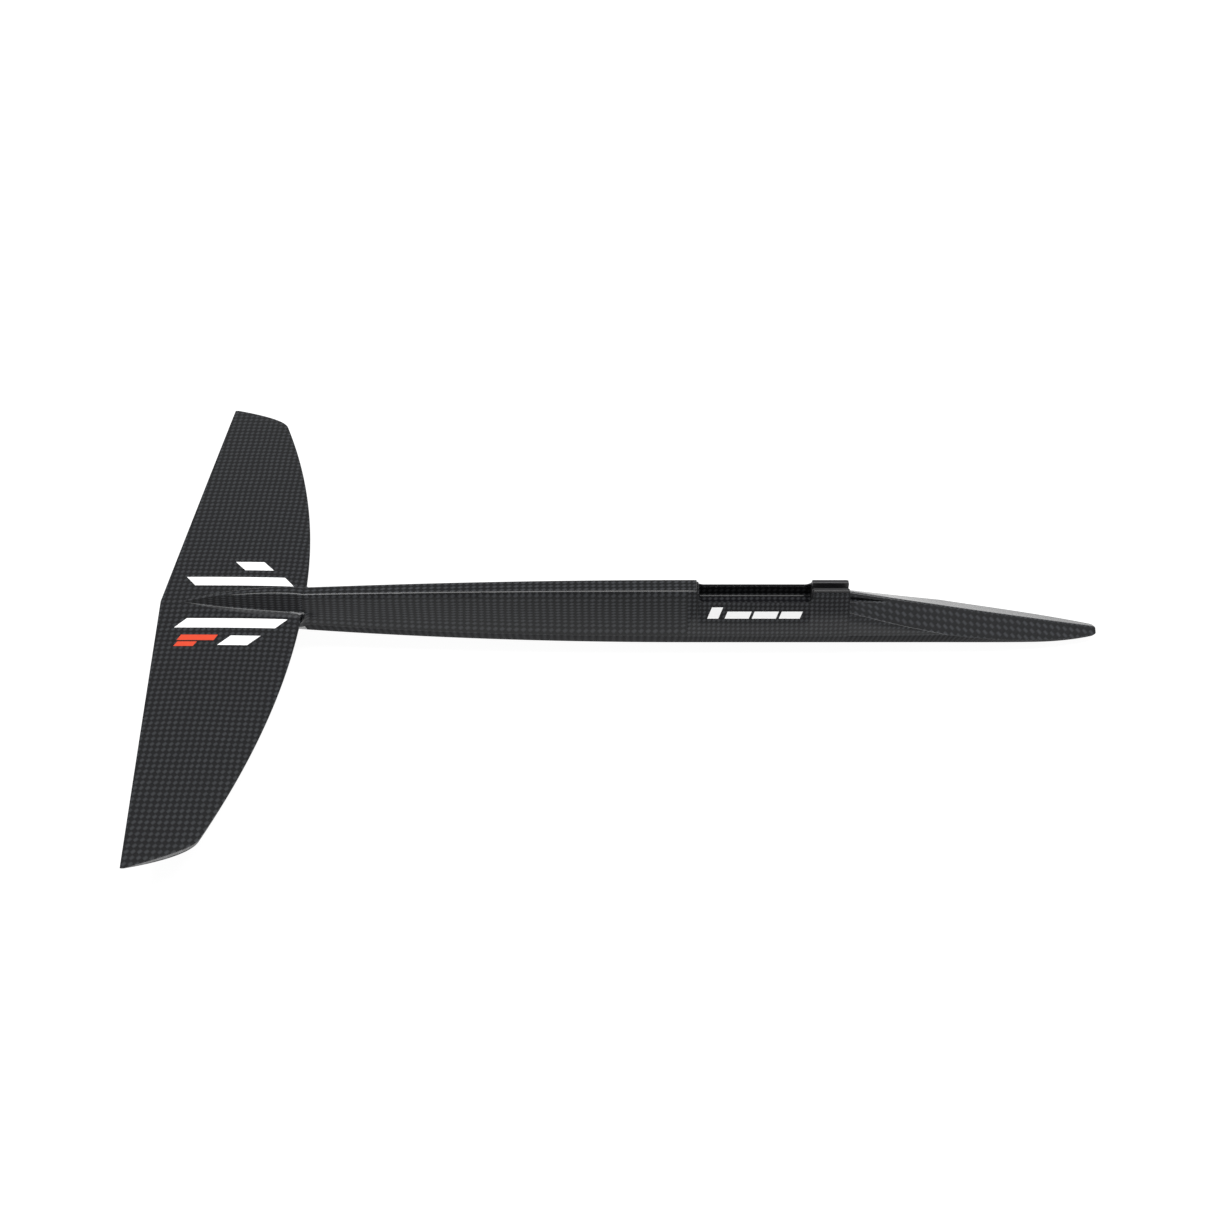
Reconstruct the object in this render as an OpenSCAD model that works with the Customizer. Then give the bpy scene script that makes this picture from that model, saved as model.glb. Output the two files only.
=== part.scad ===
// Hydrofoil tail: a moulded carbon fuselage that carries a fixed stabiliser wing.
// The mast's foot drops into the pocket, and a front wing slides over the nose.
// Origin: centre of the mast pocket's floor. X runs to the nose, Y to port, Z up. Millimetres.

/* [Fuselage section] */
// Height of the top face above the pocket floor
top_z = 12.2; // [11.8:0.1:13]
// Half width of the flat top face
top_half = 4.55; // [4.4:0.05:4.8]
// Half width at the flank's widest line
flank_half = 13.85; // [13.5:0.05:14.5]
// Height of the flank's widest line
flank_z = -10.6; // [-11:0.1:-10]
// Height of the flat keel
keel_z = -24.3; // [-25:0.1:-22]
// Thickness of the moulded skins
skin = 0.8; // [0.7:0.05:0.9]
// Chamfer on the top edges
edge = 0.7; // [0.4:0.1:1]

/* [Boom taper] */
// Joint plane between the boom and the tail
joint_x = -229.5; // [-240:0.5:-220]
// How far the top face comes down at the joint
top_drop = 3.9; // [3:0.1:5]
// How far the top face narrows at the joint, half width
top_narrow = 1.5; // [1:0.1:2]
// How far the widest line comes in at the joint, half width
flank_narrow = 4.75; // [4:0.05:5.5]
// How far the widest line rises at the joint
flank_rise = 4; // [3.5:0.1:4.5]
// How far the keel rises at the joint
keel_rise = 7.8; // [7:0.1:8.5]

/* [Mast pocket] */
// Length of the pocket along the fuselage
pocket_len = 57.6; // [50:0.2:62]
// Width of the pocket
pocket_w = 12; // [11:0.1:12.2]
// Height of the side rims above the pocket floor
rim_z = 6.3; // [5:0.1:8]
// Radius of the rims' lower corners
rim_r = 3.2; // [2:0.1:4]
// Thickness of the socket's floor
floor_t = 8; // [6:0.5:9]
// Length of the socket's aft wall
aft_wall = 6; // [4:0.5:10]

/* [Lock block] */
// Length of the block ahead of the pocket
block_len = 18.5; // [16:0.5:22]
// Height of the skin's rim beside the block
shoulder_z = 10.9; // [10:0.1:11.4]
// Half width of the block above the skin's rim
block_half = 4.2; // [4:0.05:4.2]
// Half width of the key groove
groove_half = 1.75; // [1.5:0.05:2.2]
// Height of the key groove's floor
groove_z = 7.7; // [7:0.1:9]

/* [Nose] */
// Length of the wedge that enters the front wing
nose_len = 130; // [120:1:140]
// Height of the ridge where the nose starts
ridge_z = 7.9; // [7:0.1:8.5]
// How far the ridge comes down over the nose
ridge_drop = 25.3; // [24:0.1:26]
// How hollow the ridge line is
ridge_sag = 2.3; // [0:0.1:3]
// Height of the eaves where the nose starts
eave_z = 1.1; // [0:0.1:2]
// How far the eaves come down over the nose
eave_drop = 20.2; // [19:0.1:20.5]
// Half width of the nose at its widest line, where it starts
nose_half = 13.3; // [12.8:0.1:13.4]
// Height of the ledges beside the ridge
ledge_z = 3.2; // [2.5:0.1:4]
// Length of the rounded tip
tip_round = 2.2; // [1.6:0.2:4]
// Size of the blunt end, as a share of the section behind it
tip_end = 0.7; // [0.4:0.05:0.85]

/* [Tail wing] */
// Span from tip to tip
span = 329.6; // [300:1:360]
// Chord on the centreline
root_chord = 72.8; // [66:0.2:80]
// How far the leading edge sweeps back to the tip
le_sweep = 35; // [30:0.5:40]
// How far the trailing edge sweeps forward to the tip
te_sweep = 11.8; // [8:0.2:15]
// Thickness as a share of the chord
thickness_ratio = 0.085; // [0.07:0.005:0.1]
// Share of the thickness that lies above the chord line
upper_share = 0.15; // [0.1:0.01:0.3]
// Nose-down setting of the chord line, degrees
incidence = 1.3; // [0.5:0.1:2.5]
// Droop of each half, degrees
anhedral = 1.45; // [0.5:0.05:2]
// Height of the leading edge on the centreline
le_z = -0.7; // [-1:0.1:0]
// Thickness of the wing's skins
wing_skin = 0.8; // [0.6:0.05:1]

/* [Graphics] */
// Thickness of the printed films
film = 0.1; // [0.05:0.01:0.2]

/* [Hidden] */

$fn = 48;
gap = 0.02;                                   // bond line between neighbouring pieces
pocket_half = pocket_len / 2;
socket_aft_x = -pocket_half - aft_wall;
nose_x = pocket_half + block_len;             // plane where the nose starts
tip_x = nose_x + nose_len;
cap_t = 1.2;                                  // thickness of the spar caps
lean = (flank_half - top_half) / (top_z - flank_z);   // sideways lean of the flank per mm of height
skin_y = skin * sqrt(1 + lean * lean);        // skin measured sideways on the flank
bar_half = 4;                                 // half width of the spine bar
bar_z = [-16, -9.5];                          // its lowest and highest faces
bar_end_x = nose_x + 60;

half_span = span / 2;
wing_le_x = joint_x - 0.2;
fairing_len = 61.5;
le_slots = 16;                                // chordwise panels
core_first = 3;                               // chordwise panels the cores start and end on
spar_first = 6;
spar_last = 8;
core_last = 12;
core_end_share = 0.86;                        // how far out the cores reach

carbon = [0.16, 0.165, 0.175];
carbon_dark = [0.1, 0.1, 0.11];
foam_pink = [0.86, 0.76, 0.62];
ud_grey = [0.25, 0.25, 0.27];
glass_green = [0.42, 0.5, 0.36];

// ---------- helpers ----------

// Solid skin over a list of rings that all have the same number of points.
// With banded ends, each end is closed by strips between the ring's outer and inner halves.
module loft(rings, banded = false) {
    n = len(rings[0]);
    m = len(rings);
    points = [for (r = rings) each r];
    sides = [for (j = [0 : m - 2], i = [0 : n - 1]) let (k = (i + 1) % n)
        each [[j * n + i, (j + 1) * n + k, j * n + k], [j * n + i, (j + 1) * n + i, (j + 1) * n + k]]];
    first = banded ? [for (i = [0 : n / 2 - 2]) [i, i + 1, n - 2 - i, n - 1 - i]]
        : [[for (i = [0 : n - 1]) i]];
    last = [for (f = first) [for (i = [len(f) - 1 : -1 : 0]) (m - 1) * n + f[i]]];
    polyhedron(points, concat(first, last, sides), convexity = 8);
}

// A ring across the fuselage: the starboard points, then their mirror image to port
function ring(x, half) = concat(
    [for (p = half) [x, -p[0], p[1]]],
    [for (i = [len(half) - 1 : -1 : 0]) [x, half[i][0], half[i][1]]]);

// A closed band from an outer and an inner half outline, both from the open edge to the middle
function band(x, outer, inner) = concat(
    [for (p = outer) [x, -p[0], p[1]]],
    [for (i = [len(outer) - 1 : -1 : 0]) [x, outer[i][0], outer[i][1]]],
    [for (p = inner) [x, p[0], p[1]]],
    [for (i = [len(inner) - 1 : -1 : 0]) [x, -inner[i][0], inner[i][1]]]);

function backward(list) = [for (i = [len(list) - 1 : -1 : 0]) list[i]];
function mix(a, b, t) = a + (b - a) * t;
function steps(a, b, n) = [for (i = [0 : n]) mix(a, b, i / n)];
function clamp01(t) = max(0, min(1, t));

// A prism along X from a list of [y, z] points
module prism_x(x0, x1, outline) {
    translate([x0, 0, 0]) rotate([90, 0, 90]) linear_extrude(x1 - x0) polygon(outline);
}

module box(low, high) {
    translate(low) cube(high - low);
}

// ---------- fuselage section ----------

// 0 from the socket forward, 1 at the tail joint
function taper(x) = clamp01((socket_aft_x - x) / (socket_aft_x - joint_x));
function sec_top(x) = top_z - top_drop * pow(taper(x), 2);
function sec_top_half(x) = top_half - top_narrow * pow(taper(x), 2);
function sec_flank_half(x) = flank_half - flank_narrow * pow(taper(x), 2);
function sec_flank_z(x) = flank_z + flank_rise * pow(taper(x), 2.4);
function sec_keel(x) = keel_z + keel_rise * pow(taper(x), 2);

// Half width of the flank at a height, on the outside and inside the skin
function outer_half(x, z) = mix(sec_flank_half(x), sec_top_half(x),
    (z - sec_flank_z(x)) / (sec_top(x) - sec_flank_z(x)));
function inner_half(x, z) = outer_half(x, z) - skin_y - gap;

// Half width of the lower facet at a height, inside the skin
function keel_inner_half(x, z) = mix(sec_flank_half(x), sec_top_half(x),
    (sec_flank_z(x) - z) / (sec_flank_z(x) - sec_keel(x))) - skin_y - gap;

boom_stations = steps(joint_x, socket_aft_x, 14);

function upper_band(x) = band(x,
    [[sec_flank_half(x), sec_flank_z(x)],
     [outer_half(x, sec_top(x) - edge), sec_top(x) - edge],
     [sec_top_half(x) - edge, sec_top(x)]],
    [[sec_flank_half(x) - skin_y, sec_flank_z(x)],
     [inner_half(x, sec_top(x) - edge - skin), sec_top(x) - edge - skin],
     [sec_top_half(x) - edge, sec_top(x) - skin]]);

function lower_band(x) = backward(band(x,
    [[sec_flank_half(x), sec_flank_z(x)], [sec_top_half(x), sec_keel(x)]],
    [[sec_flank_half(x) - skin_y, sec_flank_z(x)],
     [keel_inner_half(x, sec_keel(x) + skin), sec_keel(x) + skin]]));

// Opening above the side rims, with rounded lower corners
module pocket_opening() {
    high = top_z + 8;
    translate([0, flank_half + 1, 0]) rotate([90, 0, 0]) linear_extrude(2 * flank_half + 2)
        union() {
            translate([-pocket_half, rim_z + rim_r]) square([pocket_len, high - rim_z - rim_r]);
            translate([-pocket_half + rim_r, rim_z]) square([pocket_len - 2 * rim_r, high - rim_z]);
            for (s = [-1, 1]) translate([s * (pocket_half - rim_r), rim_z + rim_r]) circle(rim_r);
        }
}

module boom_upper_shell() {
    color(carbon) loft([for (x = boom_stations) upper_band(x)], banded = true);
}

// Shell around the socket and the block, where the section is constant
module pocket_shell() {
    section = [for (p = upper_band(socket_aft_x)) [p[1], p[2]]];
    color(carbon) difference() {
        prism_x(socket_aft_x, nose_x, section);
        pocket_opening();
        box([pocket_half - 1, -flank_half - 1, shoulder_z], [nose_x + 1, flank_half + 1, top_z + 5]);
    }
}

module fuselage_lower_shell() {
    color(carbon) loft([for (x = concat(boom_stations, [nose_x])) lower_band(x)], banded = true);
}

// ---------- inside the boom ----------

module boom_foam_core() {
    color(foam_pink) loft([for (x = boom_stations) let (
        zt = sec_top(x) - edge - skin - cap_t - gap, zb = sec_keel(x) + skin + cap_t + gap)
        ring(x, [[keel_inner_half(x, zb), zb], [sec_flank_half(x) - skin_y - gap, sec_flank_z(x)],
                 [inner_half(x, zt), zt]])]);
}

module upper_spar_cap() {
    color(ud_grey) loft([for (x = boom_stations) let (
        zt = sec_top(x) - edge - skin, zb = zt - cap_t)
        ring(x, [[inner_half(x, zb), zb], [inner_half(x, zt), zt]])]);
}

module lower_spar_cap() {
    color(ud_grey) loft([for (x = boom_stations) let (
        zb = sec_keel(x) + skin + gap, zt = zb + cap_t - gap)
        ring(x, [[keel_inner_half(x, zb), zb], [keel_inner_half(x, zt), zt]])]);
}

// ---------- mast socket, block and spine ----------

// Socket body inside the skins, open at the top, its side walls just below the rims
module mast_socket() {
    wall_z = rim_z - 0.8;
    roof_z = top_z - edge - skin - gap;
    color(carbon_dark) union() {
        prism_x(socket_aft_x, pocket_half, [
            [-inner_half(0, -floor_t), -floor_t], [inner_half(0, -floor_t), -floor_t],
            [inner_half(0, 0), 0], [-inner_half(0, 0), 0]]);
        for (s = [-1, 1]) prism_x(socket_aft_x, pocket_half, [
            [s * pocket_w / 2, 0], [s * inner_half(0, 0), 0],
            [s * inner_half(0, wall_z), wall_z], [s * pocket_w / 2, wall_z]]);
        prism_x(socket_aft_x, -pocket_half, [
            [-inner_half(0, 0), 0], [inner_half(0, 0), 0],
            [inner_half(0, roof_z), roof_z], [-inner_half(0, roof_z), roof_z]]);
    }
}

// Block that closes the pocket's front, with a groove for the foot's key
module lock_block() {
    bevel = 0.8;
    shoulder_half = min(block_half, inner_half(0, shoulder_z));
    color(carbon_dark) difference() {
        prism_x(pocket_half, nose_x, [
            [-inner_half(0, -floor_t), -floor_t], [inner_half(0, -floor_t), -floor_t],
            [shoulder_half, shoulder_z], [block_half, top_z],
            [-block_half, top_z], [-shoulder_half, shoulder_z]]);
        box([pocket_half - 1, -groove_half, groove_z], [nose_x + 1, groove_half, top_z + 1]);
        translate([nose_x, 0, top_z]) rotate([90, 0, 0]) linear_extrude(2 * flank_half, center = true)
            polygon([[-bevel, 1], [1, 1], [1, -bevel], [0, -bevel], [-bevel, 0]]);
    }
}

// Solid laminate under the socket and the block, channelled for the spine bar
module keel_block() {
    top = -floor_t - gap;
    low = keel_z + skin + gap;
    waist = sec_flank_half(0) - skin_y - gap;
    color(glass_green) difference() {
        prism_x(socket_aft_x + gap, nose_x, [
            [-keel_inner_half(0, low), low], [keel_inner_half(0, low), low], [waist, flank_z],
            [inner_half(0, top), top], [-inner_half(0, top), top], [-waist, flank_z]]);
        box([socket_aft_x - 1, -bar_half - gap, bar_z[0] - gap],
            [nose_x + 1, bar_half + gap, bar_z[1] + gap]);
    }
}

module spine_bar() {
    color(ud_grey) box([socket_aft_x + gap, -bar_half, bar_z[0]], [bar_end_x, bar_half, bar_z[1]]);
}

// ---------- nose ----------

function nose_t(x) = (x - nose_x) / nose_len;
// 1 along the nose, falling to a small blunt end over the rounded tip
function tip_scale(x) = x < tip_x - tip_round ? 1
    : tip_end + (1 - tip_end) * sqrt(max(0, 1 - pow((x - tip_x + tip_round) / tip_round, 2)));
function ridge(x) = ridge_z - ridge_drop * nose_t(x) - ridge_sag * nose_t(x) * (1 - nose_t(x));
function eave(x) = eave_z - eave_drop * (1 - pow(1 - nose_t(x), 1.7));
function nose_widest_z(x) = min(flank_z, eave(x) - 0.3);
function nose_widest(x) = nose_half - 0.6 * nose_t(x) - 9.2 * pow(nose_t(x), 4);
function eave_half(x) = nose_widest(x) - lean * (eave(x) - nose_widest_z(x));
function nose_keel(x) = keel_z + 2.6 * pow(max(0, nose_t(x) - 0.76) / 0.24, 2);
function nose_keel_half(x) = top_half - 2.6 * pow(nose_t(x), 8);

// Shrinks half-outline points about the tip's middle
function tip_shape(x, half) = let (s = tip_scale(x), zc = nose_widest_z(x))
    [for (p = half) [p[0] * s, zc + (p[1] - zc) * s]];

nose_stations = concat(steps(nose_x, tip_x - tip_round, 16),
    [for (a = [20, 40, 60, 75, 90]) tip_x - tip_round + tip_round * sin(a)]);

module nose_upper_half() {
    color(carbon) difference() {
        loft([for (x = nose_stations) ring(x, tip_shape(x, [
            [nose_widest(x), nose_widest_z(x)], [eave_half(x), eave(x)], [0.3, ridge(x)]]))]);
        box([nose_x - 1, groove_half, ledge_z], [nose_x + 30, nose_half, top_z]);
        box([nose_x - 1, -nose_half, ledge_z], [nose_x + 30, -groove_half, top_z]);
        spine_channel();
    }
}

module nose_lower_half() {
    color(carbon) difference() {
        loft([for (x = nose_stations) ring(x, tip_shape(x, [
            [nose_keel_half(x), nose_keel(x)], [nose_widest(x), nose_widest_z(x)]]))]);
        spine_channel();
    }
}

module spine_channel() {
    box([nose_x - 1, -bar_half - gap, bar_z[0] - gap], [bar_end_x + gap, bar_half + gap, bar_z[1] + gap]);
}

// ---------- tail wing ----------

function le_curve(y) = wing_le_x - le_sweep * pow(y / half_span, 2);
function te(y) = wing_le_x - root_chord + te_sweep * y / half_span;

// The tip is a curve from the leading edge to the trailing corner, tangent to the leading edge
tip_y0 = 0.905 * half_span;
tip_y1 = 0.955 * half_span;
tip_x0 = le_curve(tip_y0);
tip_x1 = tip_x0 - 2 * le_sweep * tip_y0 / pow(half_span, 2) * (tip_y1 - tip_y0);
function bezier(a, b, c, t) = (1 - t) * (1 - t) * a + 2 * t * (1 - t) * b + t * t * c;
function tip_y(t) = bezier(tip_y0, tip_y1, half_span, t);
function tip_le(t) = bezier(tip_x0, tip_x1, te(half_span), t);

// Stations of one half: [distance from the centreline, leading edge x]
half_stations = concat(
    [for (y = steps(0, tip_y0, 14)) [y, le_curve(y)]],
    [for (t = [0.12, 0.24, 0.36, 0.48, 0.6, 0.7, 0.8, 0.88, 0.96]) [tip_y(t), tip_le(t)]]);
last_station = len(half_stations) - 1;
wing_stations = concat(
    [for (i = [last_station : -1 : 1]) [-half_stations[i][0], half_stations[i][1]]], half_stations);
core_wing_stations = [for (s = wing_stations) if (abs(s[0]) < core_end_share * half_span) s];

function chord(s) = s[1] - te(abs(s[0]));
function panel_u(i) = (1 - cos(180 * i / le_slots)) / 2;
function thick(s, u) = let (c = chord(s)) 10 * thickness_ratio * c * (0.2969 * sqrt(u) - 0.126 * u
    - 0.3516 * u * u + 0.2843 * pow(u, 3) - 0.1015 * pow(u, 4)) + 0.5 * u * min(1, c / 25);
function chord_z(s, u) = le_z - tan(anhedral) * abs(s[0]) + u * chord(s) * sin(incidence);
function wing_x(s, u) = s[1] - u * chord(s);
function wing_top(s, u) = chord_z(s, u) + upper_share * thick(s, u);
function wing_low(s, u) = wing_top(s, u) - thick(s, u);
function wing_mid(s, u) = wing_top(s, u) - thick(s, u) / 2;

// Half thickness of the core at a panel line
function core_half(s, i) = i <= core_first || i >= core_last
    || abs(s[0]) >= core_end_share * half_span ? 0
    : max(0.1, thick(s, panel_u(i)) / 2 - wing_skin);

function wing_point(s, i, z) = [wing_x(s, panel_u(i)), s[0], z];
function upper_skin_ring(s) = concat(
    [for (i = [0 : le_slots]) wing_point(s, i, wing_top(s, panel_u(i)))],
    [for (i = [le_slots : -1 : 1]) wing_point(s, i, wing_mid(s, panel_u(i)) + core_half(s, i))]);
function lower_skin_ring(s) = concat(
    [for (i = [0 : le_slots]) wing_point(s, i, wing_mid(s, panel_u(i)) - core_half(s, i))],
    [for (i = [le_slots : -1 : 1]) wing_point(s, i, wing_low(s, panel_u(i)))]);

// Ring of a core strip between two panel lines, its sharp edges kept as single points
function strip_ring(s, first, last) = concat(
    [for (i = [first : last]) wing_point(s, i, wing_mid(s, panel_u(i)) + core_half(s, i))],
    [for (i = [last : -1 : first]) if (core_half(s, i) > 0)
        wing_point(s, i, wing_mid(s, panel_u(i)) - core_half(s, i))]);

module tail_upper_skin() {
    color(carbon) loft([for (s = wing_stations) upper_skin_ring(s)]);
}

module tail_lower_skin() {
    color(carbon) loft([for (s = wing_stations) lower_skin_ring(s)]);
}

module tail_spar() {
    color(ud_grey) loft([for (s = core_wing_stations) strip_ring(s, spar_first, spar_last)]);
}

module tail_front_core() {
    color(foam_pink) loft([for (s = core_wing_stations) strip_ring(s, core_first, spar_first)]);
}

module tail_rear_core() {
    color(foam_pink) loft([for (s = core_wing_stations) strip_ring(s, spar_last, core_last)]);
}

// ---------- root fairings ----------

// Wing surfaces near the root at a place given by x and y
function root_station(y) = [y, le_curve(abs(y))];
function root_u(x, y) = let (s = root_station(y)) clamp01((s[1] - x) / chord(s));
function top_at(x, y) = wing_top(root_station(y), root_u(x, y));
function low_at(x, y) = wing_low(root_station(y), root_u(x, y));

function fair_x(t) = joint_x - fairing_len * t;
joint_top = sec_top(joint_x);
joint_top_half = sec_top_half(joint_x);
joint_flank_half = sec_flank_half(joint_x);
joint_flank_z = sec_flank_z(joint_x);
joint_keel = sec_keel(joint_x);
fairing_t = [for (t = [0, 0.02, 0.05, 0.12, 0.2, 0.3, 0.4, 0.5, 0.6, 0.7, 0.8, 0.88, 0.94, 0.98]) t];

// Upper ridge: a flat top that narrows, flanks and a hollow fillet onto the wing
function ridge_half(t) = max(0.3, joint_top_half * pow(1 - t, 0.6));
function ridge_top(t) = top_at(fair_x(t), 0) + 0.1 + (joint_top - le_z - 0.1) * (1 - t * t);
function ridge_base(t) = mix(outer_half(joint_x, le_z), 8.5 * pow(1 - t, 0.4), clamp01(t / 0.04));
function ridge_half_outline(t) = let (x = fair_x(t), b = ridge_base(t), zb = top_at(x, b) + gap,
    h = ridge_top(t) - zb, f = 0.3 * h, a = ridge_half(t),
    w = min(a + lean * (h - f), mix(a, b, 0.75)))
    [[0.05, top_at(x, 0) + gap], [b, zb], [mix(w, b, 0.45), zb + 0.35 * f], [w, zb + f],
     [a, ridge_top(t)]];

module upper_root_fairing() {
    color(carbon) loft([for (i = [len(fairing_t) - 1 : -1 : 0])
        ring(fair_x(fairing_t[i]), ridge_half_outline(fairing_t[i]))]);
}

// Lower keel: carries the boom's lower facets back under the wing
function keel_fair_z(t) = let (z = low_at(fair_x(1), 0) - 0.4)
    z + (joint_keel - z) * (1 - 0.32 * t - 0.68 * t * t);
function keel_fair_flank_z(t) = max(keel_fair_z(t) + 0.1,
    min(joint_flank_z + 6 * pow(t, 1.5), low_at(fair_x(t), 0) - 0.3));
function keel_fair_half(t) = max(0.6, joint_flank_half * pow(1 - t, 0.5));
function keel_fair_outline(t) = let (x = fair_x(t), w = keel_fair_half(t), zf = keel_fair_flank_z(t),
    b = max(0.4, w - lean * max(0, low_at(x, 0) - zf)))
    [[max(0.3, joint_top_half * pow(1 - t, 0.6)), keel_fair_z(t)], [w, zf],
     [b, low_at(x, b) - gap], [0.05, low_at(x, 0) - gap]];

module lower_root_fairing() {
    color(carbon) loft([for (i = [len(fairing_t) - 1 : -1 : 0])
        ring(fair_x(fairing_t[i]), keel_fair_outline(fairing_t[i]))]);
}

// ---------- graphics ----------

// A slanted film on the wing's top between two distances from the centreline
module wing_film(side, y_in, y_out, aft_in, fore_in, lag) {
    n = 24;
    rows = [for (k = [0 : n]) let (t = k / n, xi = mix(aft_in, fore_in, t), xo = xi - lag,
        zi = top_at(xi, y_in), zo = top_at(xo, y_out))
        [[xi, side * y_in, zi + gap], [xo, side * y_out, zo + gap],
         [xo, side * y_out, zo + gap + film], [xi, side * y_in, zi + gap + film]]];
    loft(side > 0 ? rows : [for (r = rows) [r[3], r[2], r[1], r[0]]]);
}

module long_stripes() {
    color("white") for (s = [-1, 1]) wing_film(s, 12, 18.4, -287, -236.4, 5.4);
}

module short_stripes() {
    color("white") for (s = [-1, 1]) wing_film(s, 23.8, 30.2, -263.1, -248.3, 5.8);
}

// Plain slanted bars where the size label sits
module size_mark() {
    color("orangered") union() {
        wing_film(-1, 23.3, 27, -288, -269.6, 1.6);
        wing_film(-1, 27.9, 31, -289, -279.3, 1.6);
    }
}

// Plain slanted bars on both flanks below the pocket
module flank_marks() {
    slant = 1.4;
    tall = 6.1;
    short = 3.8;
    low = -1.4;
    bars = [[-24.5, 5.6, tall], [-15.7, 12.2, short], [-2, 12.2, short], [11.7, 10.6, short]];
    color("white") for (s = [-1, 1]) translate([0, s * (outer_half(0, low) + gap), low])
        rotate([s * atan(lean), 0, 0]) translate([0, s > 0 ? film : 0, 0]) rotate([90, 0, 0])
            linear_extrude(film) for (b = bars) let (rise = b[2] * slant / short)
                polygon([[b[0], 0], [b[0] + b[1], 0], [b[0] + b[1] + rise, b[2]], [b[0] + rise, b[2]]]);
}

boom_upper_shell();
pocket_shell();
fuselage_lower_shell();
boom_foam_core();
upper_spar_cap();
lower_spar_cap();
mast_socket();
lock_block();
keel_block();
spine_bar();
nose_upper_half();
nose_lower_half();
upper_root_fairing();
lower_root_fairing();
tail_upper_skin();
tail_lower_skin();
tail_spar();
tail_front_core();
tail_rear_core();
long_stripes();
short_stripes();
size_mark();
flank_marks();
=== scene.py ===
"""Hydrofoil fuselage with tail wing: the finished look around the CAD frame.

Places and sizes are read from the frame. The shapes repeat the CAD's rules with fine rounded edges.
Work is in millimetres (x to the nose, y to port, z up); MM turns it into Blender's metres.
"""
import math
from itertools import accumulate

import bmesh
import bpy
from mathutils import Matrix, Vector


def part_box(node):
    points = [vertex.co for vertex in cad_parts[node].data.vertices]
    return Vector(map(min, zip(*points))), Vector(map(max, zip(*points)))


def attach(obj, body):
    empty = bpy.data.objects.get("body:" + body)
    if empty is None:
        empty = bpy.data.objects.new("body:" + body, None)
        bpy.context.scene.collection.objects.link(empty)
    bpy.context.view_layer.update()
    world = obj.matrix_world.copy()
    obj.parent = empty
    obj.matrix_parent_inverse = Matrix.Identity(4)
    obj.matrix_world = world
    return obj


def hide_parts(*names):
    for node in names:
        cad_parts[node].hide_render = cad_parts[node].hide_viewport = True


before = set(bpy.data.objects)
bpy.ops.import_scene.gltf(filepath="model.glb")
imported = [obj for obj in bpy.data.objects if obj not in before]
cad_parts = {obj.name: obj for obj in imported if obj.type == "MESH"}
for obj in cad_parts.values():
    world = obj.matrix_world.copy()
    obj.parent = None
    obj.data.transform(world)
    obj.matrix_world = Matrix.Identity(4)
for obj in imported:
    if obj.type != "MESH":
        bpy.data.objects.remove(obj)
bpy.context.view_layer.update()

MM = 0.001


# ---------------------------------------------------------------- driving sizes, from the frame

def cad(node, corner, axis):
    """One coordinate of a CAD node's box, in millimetres. corner is 0 for low and 1 for high."""
    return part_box(node)[corner]["xyz".index(axis)] / MM


JOINT_X = cad("boom_upper_shell", 0, "x")
SOCKET_X = cad("boom_upper_shell", 1, "x")
POCKET_HALF = cad("lock_block", 0, "x")
NOSE_X = cad("nose_upper_half", 0, "x")
TIP_X = cad("nose_upper_half", 1, "x")
TOP_Z = cad("boom_upper_shell", 1, "z")
FLANK_Z = cad("pocket_shell", 0, "z")
FLANK_HALF = cad("pocket_shell", 1, "y")
KEEL_Z = cad("fuselage_lower_shell", 0, "z")
HALF_SPAN = cad("tail_upper_skin", 1, "y")
WING_LE_X = JOINT_X - 0.2

TOP_HALF = 4.55                # half width of the flat top
SKIN = 0.8                     # moulded skin thickness
RIM_Z = 6.3                    # side rims of the pocket
RIM_R = 3.2                    # their lower corners
SHOULDER_Z = 10.9              # skin's rim beside the lock block
GROOVE_HALF = 1.75             # half width of the groove along the nose's ridge
LEAN = (FLANK_HALF - TOP_HALF) / (TOP_Z - FLANK_Z)     # how far a flank leans in, for its height


# ---------------------------------------------------------------- outline helpers

def mix(a, b, t):
    return a + (b - a) * t


def clamp01(t):
    return max(0.0, min(1.0, t))


def steps(a, b, n):
    return [mix(a, b, i / n) for i in range(n + 1)]


def rounded(corners, segments):
    """A half outline of (y, z, radius) corners with each inner corner turned into an arc."""
    out = [(corners[0][0], corners[0][1])]
    for before, here, after in zip(corners, corners[1:], corners[2:]):
        p = Vector(here[:2])
        back = Vector(before[:2]) - p
        ahead = Vector(after[:2]) - p
        if here[2] <= 0 or back.length < 1e-6 or ahead.length < 1e-6:
            out += [tuple(p)] * (segments + 1)
            continue
        turn = back.angle(ahead)
        reach = min(here[2] / math.tan(max(turn, 0.2) / 2), 0.45 * back.length, 0.45 * ahead.length)
        a = p + back.normalized() * reach
        b = p + ahead.normalized() * reach
        for i in range(segments + 1):
            t = i / segments
            out.append(tuple(a * (1 - t) ** 2 + p * 2 * t * (1 - t) + b * t * t))
    out.append((corners[-1][0], corners[-1][1]))
    return out


def both_sides(half):
    """Starboard points then port points, from a half outline that ends on the centreline."""
    return [(-y, z) for y, z in half[:-1]] + [(y, z) for y, z in reversed(half)]


def never_wider(line):
    """The y values of a both-sided outline, kept from growing on the way to the centreline."""
    half = list(accumulate((-y for y, _z in line[:len(line) // 2 + 1]), min))
    return [-y for y in half] + half[-2::-1]


def inset(line, depth):
    """The outline moved in towards its own inside by depth, point by point."""
    out = []
    for i, p in enumerate(line):
        a = Vector(line[max(0, i - 1)])
        b = Vector(line[min(len(line) - 1, i + 1)])
        along = (b - a).normalized() if (b - a).length > 1e-9 else Vector((1, 0))
        out.append((p[0] + along.y * depth, p[1] - along.x * depth))
    return out


# ---------------------------------------------------------------- mesh helpers

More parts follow.
